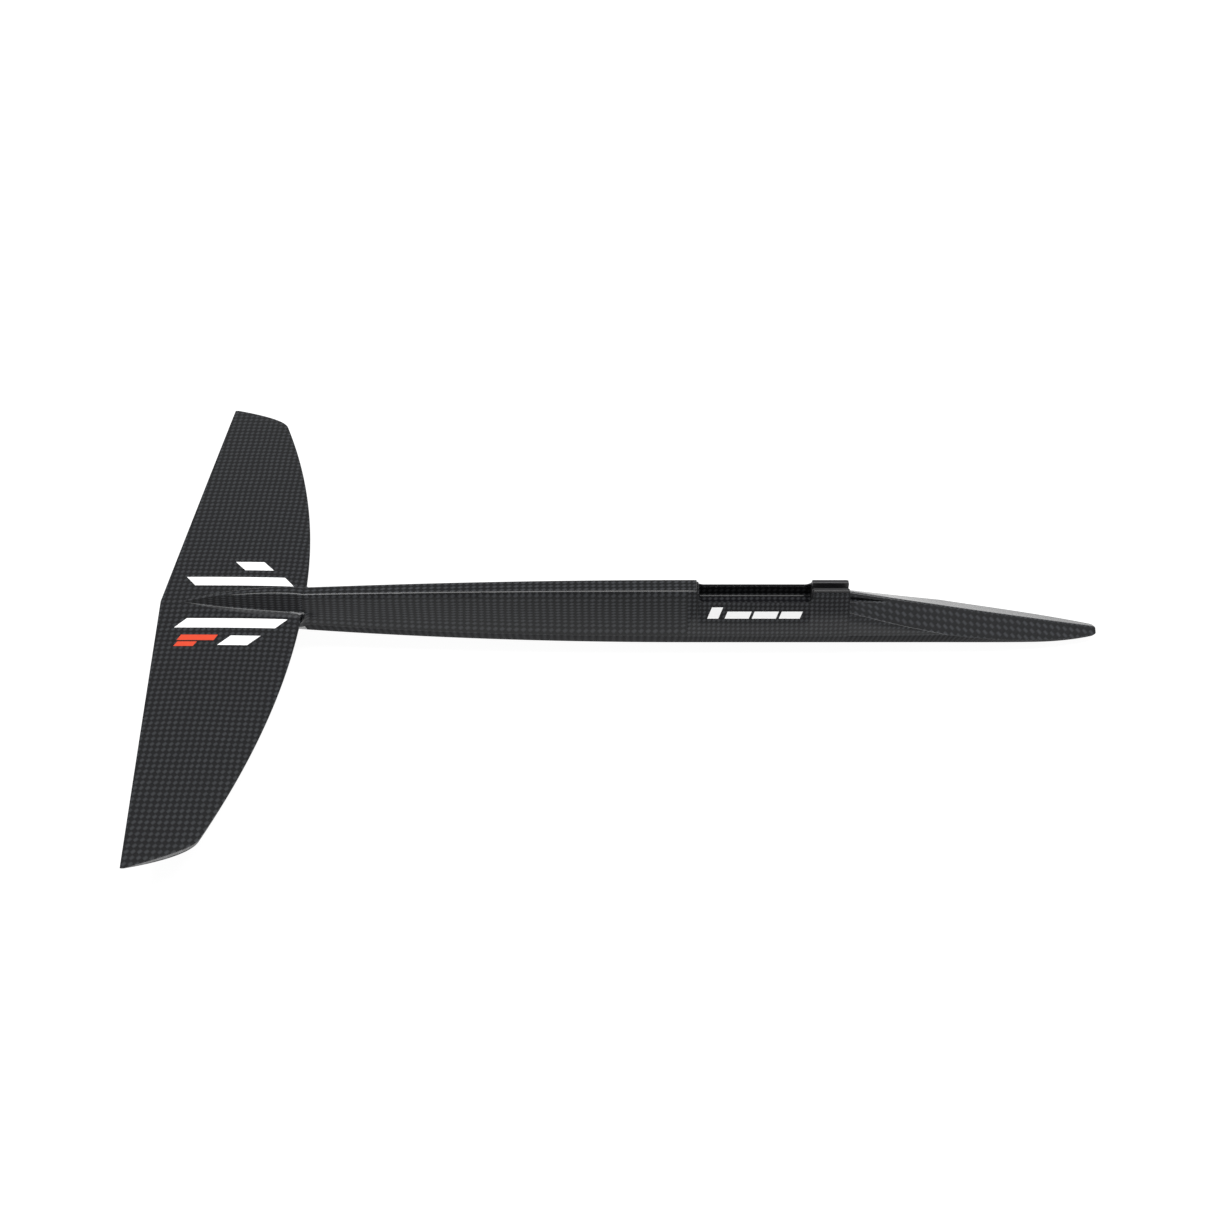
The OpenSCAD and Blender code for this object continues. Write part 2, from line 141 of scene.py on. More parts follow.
def new_object(name, mesh):
    made = bpy.data.objects.new(name, mesh)
    bpy.context.scene.collection.objects.link(made)
    return made


MERGED = 0.004                 # points closer than this are made one
SLIVER = 0.001                 # edges shorter than this are taken out


def tidy_mesh(bm):
    """Merges doubles and turns every face outward."""
    bmesh.ops.remove_doubles(bm, verts=bm.verts, dist=MERGED * MM)
    bmesh.ops.dissolve_degenerate(bm, dist=SLIVER * MM, edges=bm.edges)
    bmesh.ops.recalc_face_normals(bm, faces=bm.faces)
    if bm.calc_volume(signed=True) < 0:
        bmesh.ops.reverse_faces(bm, faces=bm.faces)


def thick_loft(name, outer, inner):
    """A closed solid between two grids of points: outer and inner surfaces, side walls and ends."""
    rows, cols = len(outer), len(outer[0])
    bm = bmesh.new()
    top = [[bm.verts.new(Vector(p) * MM) for p in row] for row in outer]
    low = [[bm.verts.new(Vector(p) * MM) for p in row] for row in inner]
    for j in range(rows - 1):
        for i in range(cols - 1):
            bm.faces.new((top[j][i], top[j][i + 1], top[j + 1][i + 1], top[j + 1][i]))
            bm.faces.new((low[j][i], low[j + 1][i], low[j + 1][i + 1], low[j][i + 1]))
        for i in (0, cols - 1):
            bm.faces.new((top[j][i], top[j + 1][i], low[j + 1][i], low[j][i]))
    for j in (0, rows - 1):
        for i in range(cols - 1):
            bm.faces.new((top[j][i], low[j][i], low[j][i + 1], top[j][i + 1]))
    tidy_mesh(bm)
    mesh = bpy.data.meshes.new(name)
    bm.to_mesh(mesh)
    bm.free()
    return new_object(name, mesh)


def apply_modifiers(piece):
    graph = bpy.context.evaluated_depsgraph_get()
    mesh = bpy.data.meshes.new_from_object(piece.evaluated_get(graph))
    piece.modifiers.clear()
    piece.data = mesh


def cut(piece, *cutters):
    for cutter in cutters:
        step = piece.modifiers.new("cut", "BOOLEAN")
        step.operation = "DIFFERENCE"
        step.solver = "EXACT"
        step.object = cutter
    apply_modifiers(piece)
    for cutter in cutters:
        bpy.data.objects.remove(cutter)


SOFT_STEPS = 4                 # segments in a softened edge
SOFT_FROM = math.radians(40)   # edges sharper than this are softened


def soften(piece, width):
    step = piece.modifiers.new("soften", "BEVEL")
    step.width = width * MM
    step.segments = SOFT_STEPS
    step.limit_method = "ANGLE"
    step.angle_limit = SOFT_FROM
    step.use_clamp_overlap = True
    apply_modifiers(piece)


def smooth(piece, angle):
    piece.data.shade_smooth()
    piece.data.set_sharp_from_angle(angle=math.radians(angle))


def prism_y(name, outline, half):
    """A solid from an outline of (x, z) points, from y = -half to +half."""
    bm = bmesh.new()
    near = [bm.verts.new(Vector((x, -half, z)) * MM) for x, z in outline]
    far = [bm.verts.new(Vector((x, half, z)) * MM) for x, z in outline]
    bm.faces.new(near)
    bm.faces.new(list(reversed(far)))
    for i in range(len(outline)):
        k = (i + 1) % len(outline)
        bm.faces.new((near[i], far[i], far[k], near[k]))
    bmesh.ops.recalc_face_normals(bm, faces=bm.faces)
    mesh = bpy.data.meshes.new(name)
    bm.to_mesh(mesh)
    bm.free()
    return new_object(name, mesh)


COVE_STEPS = 8                 # segments in a coved inner corner
COVE_FROM = math.radians(60)   # inner corners sharper than this are coved


def softened_copy(name, node, width, cove=0):
    """A piece cut from a CAD node's own shape, its edges rounded and its inner corners coved."""
    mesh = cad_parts[node].data.copy()
    bm = bmesh.new()
    bm.from_mesh(mesh)
    bmesh.ops.remove_doubles(bm, verts=bm.verts, dist=0.003 * MM)
    bmesh.ops.dissolve_limit(bm, angle_limit=math.radians(1), verts=bm.verts, edges=bm.edges)
    if cove:
        hollow = [e for e in bm.edges if len(e.link_faces) == 2 and not e.is_convex
                  and e.calc_face_angle() > COVE_FROM]
        bmesh.ops.bevel(bm, geom=hollow, offset=cove * MM, segments=COVE_STEPS, profile=0.5,
                        affect="EDGES")
    bm.to_mesh(mesh)
    bm.free()
    mesh.materials.clear()
    piece = new_object(name, mesh)
    soften(piece, width)
    return piece


def weave_map(piece, cloth):
    """Stores where the cloth runs: cloth(position, face) gives its two directions, in metres."""
    mesh = piece.data
    for old in list(mesh.uv_layers):
        mesh.uv_layers.remove(old)
    layer = mesh.uv_layers.new(name="cloth")
    for face in mesh.polygons:
        for i in face.loop_indices:
            place = mesh.vertices[mesh.loops[i].vertex_index].co
            layer.data[i].uv = cloth(place, face)


def finish_piece(piece, material, slot, *nodes, angle=32, cloth=None):
    """Shades, clothes and paints a piece, says which body it rides on, and hides the CAD nodes that
    it replaces.
    """
    smooth(piece, angle)
    if cloth:
        weave_map(piece, cloth)
    piece.data.materials.clear()
    piece.data.materials.append(material)
    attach(piece, "root")
    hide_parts(*nodes)


# ---------------------------------------------------------------- materials

class Nodes:
    """Short ways to add shader nodes to one material."""

    def __init__(self, name):
        self.material = bpy.data.materials.new(name)
        self.material.use_nodes = True
        self.tree = self.material.node_tree
        self.shader = self.tree.nodes["Principled BSDF"]

    def add(self, kind, **settings):
        made = self.tree.nodes.new(kind)
        for key, value in settings.items():
            setattr(made, key, value)
        return made

    def link(self, source, target):
        if hasattr(source, "default_value") or hasattr(source, "links"):
            self.tree.links.new(source, target)
        else:
            target.default_value = source

    def math(self, operation, a, b=0.0, clamp=False):
        made = self.add("ShaderNodeMath", operation=operation, use_clamp=clamp)
        for value, target in zip((a, b), made.inputs):
            self.link(value, target)
        return made.outputs[0]

    def spread(self, signal, low, span):
        """low where the signal is 0, and span more where it is 1."""
        return self.math("ADD", low, self.math("MULTIPLY", signal, span))

    def colour_mix(self, factor, a, b):
        made = self.add("ShaderNodeMix", data_type="RGBA")
        self.link(factor, made.inputs[0])
        for value, target in ((a, made.inputs[6]), (b, made.inputs[7])):
            if isinstance(value, tuple):
                target.default_value = (*value, 1)
            else:
                self.tree.links.new(value, target)
        return made.outputs[2]

    def noise(self, scale, detail, vector=None):
        """Cloudy variation from 0 to 1, about scale clouds to the metre."""
        made = self.add("ShaderNodeTexNoise")
        made.inputs["Scale"].default_value = scale
        made.inputs["Detail"].default_value = detail
        if vector is None:
            vector = self.add("ShaderNodeTexCoord").outputs["Object"]
        self.tree.links.new(vector, made.inputs["Vector"])
        return made.outputs["Fac"]

    def bump(self, height, distance, strength):
        made = self.add("ShaderNodeBump")
        made.inputs["Distance"].default_value = distance
        made.inputs["Strength"].default_value = strength
        self.tree.links.new(height, made.inputs["Height"])
        return made.outputs["Normal"]


TOW_PITCH = 0.003              # metres along the cloth from one tow to the next
TOW_FALL = 3.9                 # how fast a tow's crown falls away across it
DIP_FALL = 1.6                 # and along it, to where it dips under the next
FIBRE_TURNS = 62.0             # fineness of the lines along a tow
FIBRE_SHEEN = 0.06             # their share of the painted sheen
FIBRE_RELIEF = 0.04            # and of the relief
TOW_RELIEF = 0.00007           # height of the weave's relief, in metres


def wander(n, scale, reach):
    """A slow drift of the tows, over reach metres."""
    return n.math("MULTIPLY", n.math("SUBTRACT", n.noise(scale, 1.0), 0.5), reach)


def weave_signals(n, slim):
    """Plain weave laid at 45 degrees. Gives (over, crown, fibre): which tow is on top, its rounded
    height from 0 to 1, and the fine lines along it. A slim above 1 narrows the tows."""
    place = n.add("ShaderNodeUVMap", uv_map="cloth").outputs[0]
    parts = n.add("ShaderNodeSeparateXYZ")
    n.tree.links.new(place, parts.inputs[0])
    u = n.math("ADD", parts.outputs[0], wander(n, 55, 0.0011))
    v = n.math("ADD", parts.outputs[1], wander(n, 38, 0.0012))
    a = n.math("MULTIPLY", n.math("ADD", u, v), 1 / TOW_PITCH)
    b = n.math("MULTIPLY", n.math("SUBTRACT", u, v), 1 / TOW_PITCH)
    cell = n.math("ADD", n.math("FLOOR", a), n.math("FLOOR", b))
    over = n.math("ABSOLUTE", n.math("MODULO", cell, 2.0))
    across_a = n.math("SUBTRACT", n.math("FRACT", a), 0.5)
    across_b = n.math("SUBTRACT", n.math("FRACT", b), 0.5)

    def falling(offset, fall):
        return n.math("SUBTRACT", 1.0, n.math("MULTIPLY", n.math("MULTIPLY", offset, offset), fall))

    def dome(side, along):
        wide = falling(side, TOW_FALL)
        if slim != 1:
            wide = n.math("POWER", wide, slim)
        return n.math("MULTIPLY", wide, falling(along, DIP_FALL))

    warp = dome(across_b, across_a)
    weft = dome(across_a, across_b)
    crown = n.math("ADD", n.math("MULTIPLY", warp, n.math("SUBTRACT", 1.0, over)),
                   n.math("MULTIPLY", weft, over), clamp=True)
    lines_a = n.math("SINE", n.math("MULTIPLY", a, FIBRE_TURNS))
    lines_b = n.math("SINE", n.math("MULTIPLY", b, FIBRE_TURNS))
    fibre = n.math("ADD", n.math("MULTIPLY", lines_b, n.math("SUBTRACT", 1.0, over)),
                   n.math("MULTIPLY", lines_a, over))
    return over, crown, fibre


def carbon_weave(name, sheen_colour, dark, shine=0.75, gloss=0.05, slim=1):
    """Woven carbon under a clear coat, with painted sheen in its colour: the tows of one direction
    are painted brighter where they lie on top, most on their crowns, the other direction and the
    gaps keep the cloth's own dark colour, and fine fibre lines add to the painted sheen. The first
    colour is the painted sheen's, the second the cloth's own.
    shine is the coat's weight, and gloss the bare cloth's."""
    n = Nodes(name)
    over, crown, fibre = weave_signals(n, slim)
    soft = n.noise(140, 2.0)
    # Painted sheen: the crowns of the tows on top in one direction get the brighter colour, and the
    # fibre lines add to it.
    painted_sheen = n.math("MULTIPLY", n.math("SUBTRACT", 1.0, over), crown)
    painted_sheen = n.math("ADD", painted_sheen, n.math("MULTIPLY", fibre, FIBRE_SHEEN))
    painted_sheen = n.math("MULTIPLY", painted_sheen, n.spread(soft, 0.72, 0.56), clamp=True)
    n.link(n.colour_mix(painted_sheen, dark, sheen_colour), n.shader.inputs["Base Color"])
    n.link(n.spread(n.noise(900, 2.0), 0.34, 0.12), n.shader.inputs["Roughness"])
    height = n.math("ADD", crown, n.math("MULTIPLY", fibre, FIBRE_RELIEF))
    n.link(n.bump(height, TOW_RELIEF, 0.5), n.shader.inputs["Normal"])
    n.shader.inputs["Specular IOR Level"].default_value = gloss
    n.shader.inputs["Coat Weight"].default_value = shine
    n.shader.inputs["Coat Roughness"].default_value = 0.09
    n.shader.inputs["Coat IOR"].default_value = 1.45
    return n.material


def moulded_carbon(name, colour):
    """Plain moulded carbon: dark, satin, with short chopped streaks and a faint orange peel."""
    n = Nodes(name)
    streak = n.noise(420, 6.0)
    coat = n.noise(90, 3.0)
    light = tuple(c * 1.9 for c in colour)
    n.link(n.colour_mix(n.math("POWER", streak, 2.0), colour, light), n.shader.inputs["Base Color"])
    n.link(n.spread(coat, 0.3, 0.2), n.shader.inputs["Roughness"])
    n.link(n.bump(n.math("ADD", streak, coat), 0.00004, 0.4), n.shader.inputs["Normal"])
    return n.material


def unidirectional(name):
    """Straight carbon tows along x with fine fibre lines."""
    n = Nodes(name)
    stretch = n.add("ShaderNodeMapping")
    n.tree.links.new(n.add("ShaderNodeTexCoord").outputs["Object"], stretch.inputs["Vector"])
    stretch.inputs["Scale"].default_value = (0.03, 1, 1)
    tows = n.noise(2600, 4.0, stretch.outputs[0])
    n.link(n.colour_mix(tows, (0.02, 0.02, 0.023), (0.12, 0.12, 0.13)),
           n.shader.inputs["Base Color"])
    n.link(n.bump(tows, 0.00005, 0.5), n.shader.inputs["Normal"])
    n.shader.inputs["Roughness"].default_value = 0.4
    return n.material


def foam(name):
    """Closed-cell core foam: fine cells and a warm tint that varies."""
    n = Nodes(name)
    cells = n.add("ShaderNodeTexVoronoi")
    n.tree.links.new(n.add("ShaderNodeTexCoord").outputs["Object"], cells.inputs["Vector"])
    cells.inputs["Scale"].default_value = 1800
    n.link(n.colour_mix(n.noise(60, 3.0), (0.72, 0.58, 0.42), (0.84, 0.71, 0.53)),
           n.shader.inputs["Base Color"])
    n.link(n.bump(cells.outputs["Distance"], 0.0002, 0.6), n.shader.inputs["Normal"])
    n.shader.inputs["Roughness"].default_value = 0.85
    return n.material


def glass_laminate(name):
    """Greenish glass laminate with a faint ply pattern."""
    n = Nodes(name)
    plies = n.add("ShaderNodeTexWave", bands_direction="Z")
    plies.inputs["Scale"].default_value = 700
    plies.inputs["Distortion"].default_value = 2.0
    n.tree.links.new(n.add("ShaderNodeTexCoord").outputs["Object"], plies.inputs["Vector"])
    n.link(n.colour_mix(plies.outputs["Fac"], (0.14, 0.19, 0.11), (0.25, 0.31, 0.2)),
           n.shader.inputs["Base Color"])
    n.link(n.bump(plies.outputs["Fac"], 0.00004, 0.4), n.shader.inputs["Normal"])
    n.shader.inputs["Roughness"].default_value = 0.38
    return n.material


def printed_film(name, colour, shade):
    """A printed film: even ink with a faint mottle and the cloth's texture pressed through it."""
    n = Nodes(name)
    mottle = n.noise(500, 4.0)
    n.link(n.colour_mix(mottle, shade, colour), n.shader.inputs["Base Color"])
    n.link(n.bump(n.noise(330, 2.0), 0.00003, 0.3), n.shader.inputs["Normal"])
    n.shader.inputs["Roughness"].default_value = 0.42
    n.shader.inputs["Coat Weight"].default_value = 0.3
    n.shader.inputs["Coat Roughness"].default_value = 0.1
    return n.material


# ---------------------------------------------------------------- fuselage section

TOP_DROP = 3.9                 # from the socket back to the tail joint, the top face comes down,
TOP_NARROWS = 1.5              # its half width
FLANK_NARROWS = 4.75           # and the widest half width shrink,
CREASE_RISE = 4                # and the widest line
KEEL_RISE = 7.8                # and the keel come up


def taper(x):
    """0 at the socket, 1 at the tail joint."""
    return clamp01((SOCKET_X - x) / (SOCKET_X - JOINT_X))


def sec_top(x):
    return TOP_Z - TOP_DROP * taper(x) ** 2


def sec_top_half(x):
    return TOP_HALF - TOP_NARROWS * taper(x) ** 2


def sec_flank_half(x):
    return FLANK_HALF - FLANK_NARROWS * taper(x) ** 2


def sec_flank_z(x):
    return FLANK_Z + CREASE_RISE * taper(x) ** 2.4


def sec_keel(x):
    return KEEL_Z + KEEL_RISE * taper(x) ** 2


EDGE_R = 2.2                   # rounding of the top edges
CREASE_R = 0.9                 # rounding of the flank's widest line
KEEL_R = 0.8                   # rounding of the keel's edges
ARC = 6                        # segments in each rounded edge
BOOM_STEPS = 60                # stations from the tail joint to the socket
AHEAD_STEPS = 16               # and from there to the nose


def boom_outline(x):
    """Half outline from the keel's middle round to the top's middle."""
    return rounded([(0, sec_keel(x), 0), (sec_top_half(x), sec_keel(x), KEEL_R),
                    (sec_flank_half(x), sec_flank_z(x), CREASE_R),
                    (sec_top_half(x), sec_top(x), EDGE_R), (0, sec_top(x), 0)], ARC)


CREASE_INDEX = 1 + (ARC + 1) + ARC // 2          # the crease's middle in a half outline


def upper_part(half):
    """The part of a section above the widest line, both sides of it."""
    return both_sides(half[CREASE_INDEX:])


def lower_part(half):
    """And the part below."""
    return both_sides(list(reversed(half[:CREASE_INDEX + 1])))


def placed(x, line):
    return [(x, y, z) for y, z in line]


def skin_loft(name, stations, outline, part, inward):
    outer = [part(outline(x)) for x in stations]
    inner = [inset(line, SKIN * inward) for line in outer]
    return thick_loft(name, [placed(x, line) for x, line in zip(stations, outer)],
                      [placed(x, line) for x, line in zip(stations, inner)])


def boom_stations():
    return steps(JOINT_X, SOCKET_X, BOOM_STEPS) + steps(SOCKET_X, NOSE_X, AHEAD_STEPS)[1:]


LIP_R = 0.6                    # rounding where the top face meets the pocket's aft end
AFT_CUT = 1.1                  # the skin is cut back this far behind the socket's aft end
AFT_FOOT = 0.6                 # and this much less at the foot of the cut
CUT_ABOVE = 8                  # how far the cutters reach above the skin
CUT_BESIDE = 2                 # and beside it


def pocket_cutter():
    """The slot above the side rims, with rounded lower corners, cut from side to side."""
    high = TOP_Z + CUT_ABOVE
    corner = [(RIM_R * (1 - math.sin(math.radians(a))), RIM_R * (1 - math.cos(math.radians(a))))
              for a in range(90, -1, -10)]
    aft = -POCKET_HALF - AFT_CUT
    left = [(mix(aft + AFT_FOOT, -POCKET_HALF, clamp01(dx / RIM_R)) + dx, RIM_Z + dz)
            for dx, dz in corner]
    right = [(POCKET_HALF - dx, RIM_Z + dz) for dx, dz in reversed(corner)]
    lip = [(aft - LIP_R * (1 - math.cos(math.radians(a))),
            TOP_Z - LIP_R * (1 - math.sin(math.radians(a)))) for a in range(0, 91, 15)]
    return prism_y("slot", [(aft - LIP_R, high)] + list(reversed(lip)) + left + right
                   + [(POCKET_HALF, high)], FLANK_HALF + CUT_BESIDE)


def shoulder_cutter():
    """Takes the skin's top off beside the lock block."""
    aft, fore, high = POCKET_HALF - 1, NOSE_X + 1, TOP_Z + CUT_ABOVE
    return prism_y("shoulder", [(aft, SHOULDER_Z), (fore, SHOULDER_Z), (fore, high), (aft, high)],
                   FLANK_HALF + CUT_BESIDE)


FLANK_STRETCH = math.sqrt(1 + LEAN * LEAN)             # length up a flank, for its height
LAY_BOOM = 0.85                # how closely the tows lie along the boom, where 1 is TOW_PITCH,
LAY_AHEAD = 1.21               # from the socket forward,
LAY_FLANK = 1.46               # up the flanks there,
LAY_LEVEL = 1.2                # across level faces,
LAY_ROOF_ROOT = 1.5            # across the nose's roof where it starts
LAY_ROOF = 0.96                # and further on,
ROOF_RUN = 28                  # after this many millimetres,
ROWS_UP = 1.5                  # and up the boom's flanks,
ROWS_SQUEEZE = 0.103           # where the rows are closer in the middle than by the edges
ROWS_SHIFT = 0.04              # and the closest ones lie this share higher
LEVEL_TILT = 0.5               # sideways share of a face's normal, up to which it counts as level
ROOF_TILT = 1.2                # and up to which it counts as a roof


def boom_rows(x, z):
    """Cloth rows up a flank of the boom."""
    up = (z - sec_flank_z(x)) / (sec_top(x) - sec_flank_z(x))
    squeeze = ROWS_SQUEEZE * math.sin(2 * math.pi * (up - ROWS_SHIFT))
    return (TOP_Z - FLANK_Z) * (ROWS_UP * up - squeeze)


def fuselage_cloth(place, face):
    """Cloth directions on the fuselage: y on top, bottom and roof faces, height on the flanks. The
    cloth ahead of the socket is laid tighter."""
    x, y, z = place / MM
    ahead = face.center.x / MM > SOCKET_X
    along = (LAY_AHEAD if ahead else LAY_BOOM) * (x - SOCKET_X)
    level = abs(face.normal.y) < LEVEL_TILT * abs(face.normal.z)
    roof = abs(face.normal.y) < ROOF_TILT * abs(face.normal.z)
    if roof and not level and face.center.x / MM > NOSE_X:
        into = clamp01((x - NOSE_X) / ROOF_RUN)
        return LAY_BOOM * x * MM, abs(y) * mix(LAY_ROOF_ROOT, LAY_ROOF, into) * MM
    if level or roof:
        return along * MM, y * LAY_LEVEL * MM
    return along * MM, (LAY_FLANK * (z - FLANK_Z) if ahead else boom_rows(x, z)) * MM


FLANK_SLICES = 18              # bands up a flank of the boom
RIM_SOFT = 0.6                 # rounding of the skin's cut rim
RIM_STEPS = 5                  # segments in it
RIM_TURN = math.radians(50)    # a rim edge turns more than this
SIDEWAYS = 0.75                # and has a face whose normal points this much sideways


def slice_flanks(piece):
    """Adds level cuts across the boom's flanks, so that the cloth can follow its rows."""
    bm = bmesh.new()
    bm.from_mesh(piece.data)
    for z in steps(FLANK_Z, TOP_Z, FLANK_SLICES)[1:-1]:
        faces = [f for f in bm.faces if f.calc_center_median().x < SOCKET_X * MM]
        edges = {e for f in faces for e in f.edges}
        bmesh.ops.bisect_plane(bm, geom=[*faces, *edges], dist=SLIVER * MM,
                               plane_co=(0, 0, z * MM), plane_no=(0, 0, 1))
    bm.to_mesh(piece.data)
    bm.free()


def round_rims(piece):
    """Rounds the outer rim where the skin was cut open."""
    bm = bmesh.new()
    bm.from_mesh(piece.data)
    bm.normal_update()

    def outer(face):
        where = face.calc_center_median()
        return abs(face.normal.y) > SIDEWAYS and face.normal.y * where.y > 0

    rim = [e for e in bm.edges if len(e.link_faces) == 2 and e.calc_face_angle() > RIM_TURN
           and outer(e.link_faces[0]) != outer(e.link_faces[1])
           and min(v.co.z for v in e.verts) > (RIM_Z - 0.5) * MM
           and min(v.co.x for v in e.verts) > (SOCKET_X - 1) * MM]
    bmesh.ops.bevel(bm, geom=rim, offset=RIM_SOFT * MM, segments=RIM_STEPS, profile=0.5,
                    affect="EDGES", clamp_overlap=True)
    bm.to_mesh(piece.data)
    bm.free()


def make_boom(weave, keel_cloth):
    upper = skin_loft("boom_top_skin", boom_stations(), boom_outline, upper_part, 1)
    cut(upper, pocket_cutter(), shoulder_cutter())
    round_rims(upper)
    slice_flanks(upper)
    finish_piece(upper, weave, "carbon_weave", "boom_upper_shell", "pocket_shell",
                 cloth=fuselage_cloth)
    lower = skin_loft("boom_keel_skin", boom_stations(), boom_outline, lower_part, -1)
    finish_piece(lower, keel_cloth, "carbon_weave", "fuselage_lower_shell", cloth=fuselage_cloth)


# ---------------------------------------------------------------- nose

def nose_t(x):
    return (x - NOSE_X) / (TIP_X - NOSE_X)


TIP_ROUND = 2.2                # length of the rounded tip
TIP_END = 0.7                  # size of the blunt end, as a share of the section behind it
RIDGE_HALF = 0.3               # half width at which the roof's slopes would start
RIDGE_R = 1.2                  # rounding of the ridge
RIDGE_START = 7.9              # height of the ridge where the nose starts
RIDGE_DROP = 25.3              # its fall to the tip
RIDGE_SAG = 2.3                # and four times its sag below a straight line
EAVE_START = 1.1               # height of the roof's edge where the nose starts
EAVE_DROP = 20.2               # and its fall to the tip
NOSE_HALF = 13.3               # widest half width where the nose starts
NOSE_NARROWS = 0.6             # and what it loses along the nose
TIP_NARROWS = 9.2              # and what more it loses by the tip
KEEL_LIFT = 2.6                # the keel comes up this much to the tip
LIFT_FROM = 0.76               # from this share of the nose's length
KEEL_NARROWS = 2.6             # and its half width shrinks this much


def tip_scale(x):
    into = (x - TIP_X + TIP_ROUND) / TIP_ROUND
    return 1.0 if into <= 0 else TIP_END + (1 - TIP_END) * math.sqrt(max(0.0, 1 - into * into))


def ridge(x):
    return RIDGE_START - RIDGE_DROP * nose_t(x) - RIDGE_SAG * nose_t(x) * (1 - nose_t(x))


def eave(x):
    return EAVE_START - EAVE_DROP * (1 - (1 - nose_t(x)) ** 1.7)


def nose_widest_z(x):
    return min(FLANK_Z, eave(x) - 0.3)


def nose_widest(x):
    return NOSE_HALF - NOSE_NARROWS * nose_t(x) - TIP_NARROWS * nose_t(x) ** 4


def nose_keel(x):
    return KEEL_Z + KEEL_LIFT * (max(0.0, nose_t(x) - LIFT_FROM) / (1 - LIFT_FROM)) ** 2


def nose_keel_half(x):
    return TOP_HALF - KEEL_NARROWS * nose_t(x) ** 8


LEDGE_Z = 4.7                  # height of the ledge where it starts
LEDGE_FALL = 0.11              # its fall for each millimetre forward
LEDGE_END = NOSE_X + 30        # stations lie closer up to here
EAVE_LIP = (0.03, 0)           # out and up from the eave to the outer corner of its rounding
EAVE_STEP = (-0.13, 0.055)     # and to the inner one
UNDERCUT = (0.7, 0.6)          # how far the groove's foot lies in from its wall, below the ledge


def nose_outline(x):
    """Half outline from the keel's middle up to the ridge, with the ledge beside the ridge."""
    wide, wide_z = nose_widest(x), nose_widest_z(x)
    eave_half = wide - LEAN * (eave(x) - wide_z)
    slope = (ridge(x) - eave(x)) / (eave_half - RIDGE_HALF)

    def roof_z(y):
        return ridge(x) - slope * (y - RIDGE_HALF)

    wall_top = roof_z(GROOVE_HALF)
    floor = min(LEDGE_Z - LEDGE_FALL * (x - NOSE_X), wall_top)
    floor_half = max(GROOVE_HALF, RIDGE_HALF + (ridge(x) - floor) / slope)
    sunk = clamp01(wall_top - floor)
    pitch = math.atan(slope)
    centre_z = (RIDGE_HALF * math.sin(pitch) + ridge(x) * math.cos(pitch)
                - RIDGE_R) / math.cos(pitch)
    crest = [(RIDGE_R * math.sin(a), centre_z + RIDGE_R * math.cos(a)) for a in steps(pitch, 0, 8)]
    corners = [(0, nose_keel(x), 0), (nose_keel_half(x), nose_keel(x), KEEL_R),
               (wide, wide_z, CREASE_R),
               (eave_half + EAVE_LIP[0], eave(x) + EAVE_LIP[1], 0.1),
               (eave_half + EAVE_STEP[0], eave(x) + EAVE_STEP[1], 0.2), (floor_half, floor, 0.4),
               (GROOVE_HALF - UNDERCUT[0] * sunk, floor - UNDERCUT[1] * sunk, 0.1),
               (GROOVE_HALF, wall_top, 0.15), (*crest[0], 0)]
    s = tip_scale(x)
    return [(y * s, wide_z + (z - wide_z) * s) for y, z in rounded(corners, ARC) + crest[1:]]


def nose_stations():
    fine = steps(NOSE_X, LEDGE_END, 30) + steps(LEDGE_END, TIP_X - TIP_ROUND, 44)[1:]
    return fine + [TIP_X - TIP_ROUND + TIP_ROUND * math.sin(math.radians(a))
                   for a in range(10, 91, 8)]


def make_nose(weave, keel_cloth):
    for name, part, node, cloth in (
            ("nose_top_half", upper_part, "nose_upper_half", weave),
            ("nose_keel_half", lower_part, "nose_lower_half", keel_cloth)):
        outer, inner = [], []
        for x in nose_stations():
            line = part(nose_outline(x))
            outer.append(placed(x, line))
            inner.append([(x, y, line[0][1]) for y in never_wider(line)])
        piece = thick_loft(name, outer, inner)
        finish_piece(piece, cloth, "carbon_weave", node, cloth=fuselage_cloth)


# ---------------------------------------------------------------- socket and lock block

def socket_cloth(place, face):
    normal = face.normal
    if abs(normal.x) > 0.7:
        return place.y, place.z
    return place.x, place.y if abs(normal.z) > abs(normal.y) else place.z


def make_pocket(cloth, block):
    socket = softened_copy("pocket_liner", "mast_socket", 0.55, cove=1.6)
    finish_piece(socket, cloth, "carbon_plain", "mast_socket", cloth=socket_cloth)
    lock = softened_copy("lock_block_body", "lock_block", 0.45)
    finish_piece(lock, block, "carbon_plain", "lock_block", cloth=socket_cloth)


# ---------------------------------------------------------------- tail wing

ROOT_CHORD = 72.8
LE_SWEEP = 35                  # how far back the leading edge would be at the tip
TE_SWEEP = 11.8                # how far forward the trailing edge is there
THICKNESS = 0.085              # of the chord
UPPER_SHARE = 0.15             # of the thickness, above the chord plane
INCIDENCE = math.radians(1.3)
ANHEDRAL = math.radians(1.45)
LE_Z = -0.7                    # height of the leading edge at the root
TIP_Y0 = 0.905 * HALF_SPAN     # where the tip's curve starts
TIP_Y1 = 0.955 * HALF_SPAN     # its middle control point
TIP_STOP = 0.965               # share of that curve at which the wing ends, a blunt tip
TE_THICK = 0.5                 # thickness of the trailing edge
TE_FADE = 25                   # chord below which it grows thinner
WING_PANELS = 44               # panels along the chord
SPAN_STEPS = 70                # stations on one side, up to the tip's curve
TIP_STEPS = 26                 # and along it
WING_LAY = 0.93                # how closely the tows lie across the wing


def le_curve(y):
    return WING_LE_X - LE_SWEEP * (y / HALF_SPAN) ** 2


def te(y):
    return WING_LE_X - ROOT_CHORD + TE_SWEEP * y / HALF_SPAN


def bezier(a, b, c, t):
    return (1 - t) ** 2 * a + 2 * t * (1 - t) * b + t * t * c


